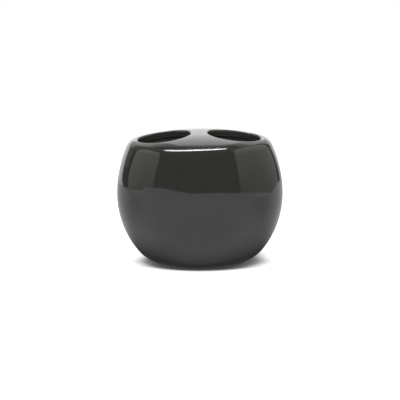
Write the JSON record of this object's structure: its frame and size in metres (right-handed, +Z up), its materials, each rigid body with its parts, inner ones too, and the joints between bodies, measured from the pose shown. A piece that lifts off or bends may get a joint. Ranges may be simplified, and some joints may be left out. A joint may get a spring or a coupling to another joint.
{
  "type": "toothbrush holder",
  "caption": "Globe-shaped glazed ceramic toothbrush holder with oval mouths either side of a narrow bridge in its low domed top, standing on stick-on feet.",
  "frame": {"origin": "on the counter, under the middle of the vessel", "axes": "+Z up, X across the mouths from the left one to the right one, -Y towards the front"},
  "size_m": [0.112, 0.112, 0.0882],
  "materials": {
    "anthracite_glaze": "glossy warm dark grey glaze over slip-cast stoneware, bare and matt on the foot ring",
    "clear_foot": "clear soft moulded polyurethane, satin",
    "adhesive_film": "thin double-sided acrylic film, satin"
  },
  "bodies": {
    "root": {"vessel": "anthracite_glaze", "foot_pad_front_left": "clear_foot", "foot_pad_front_right": "clear_foot", "foot_pad_back_left": "clear_foot", "foot_pad_back_right": "clear_foot", "adhesive_disc_front_left": "adhesive_film", "adhesive_disc_front_right": "adhesive_film", "adhesive_disc_back_left": "adhesive_film", "adhesive_disc_back_right": "adhesive_film"}
  },
  "joints": []
}
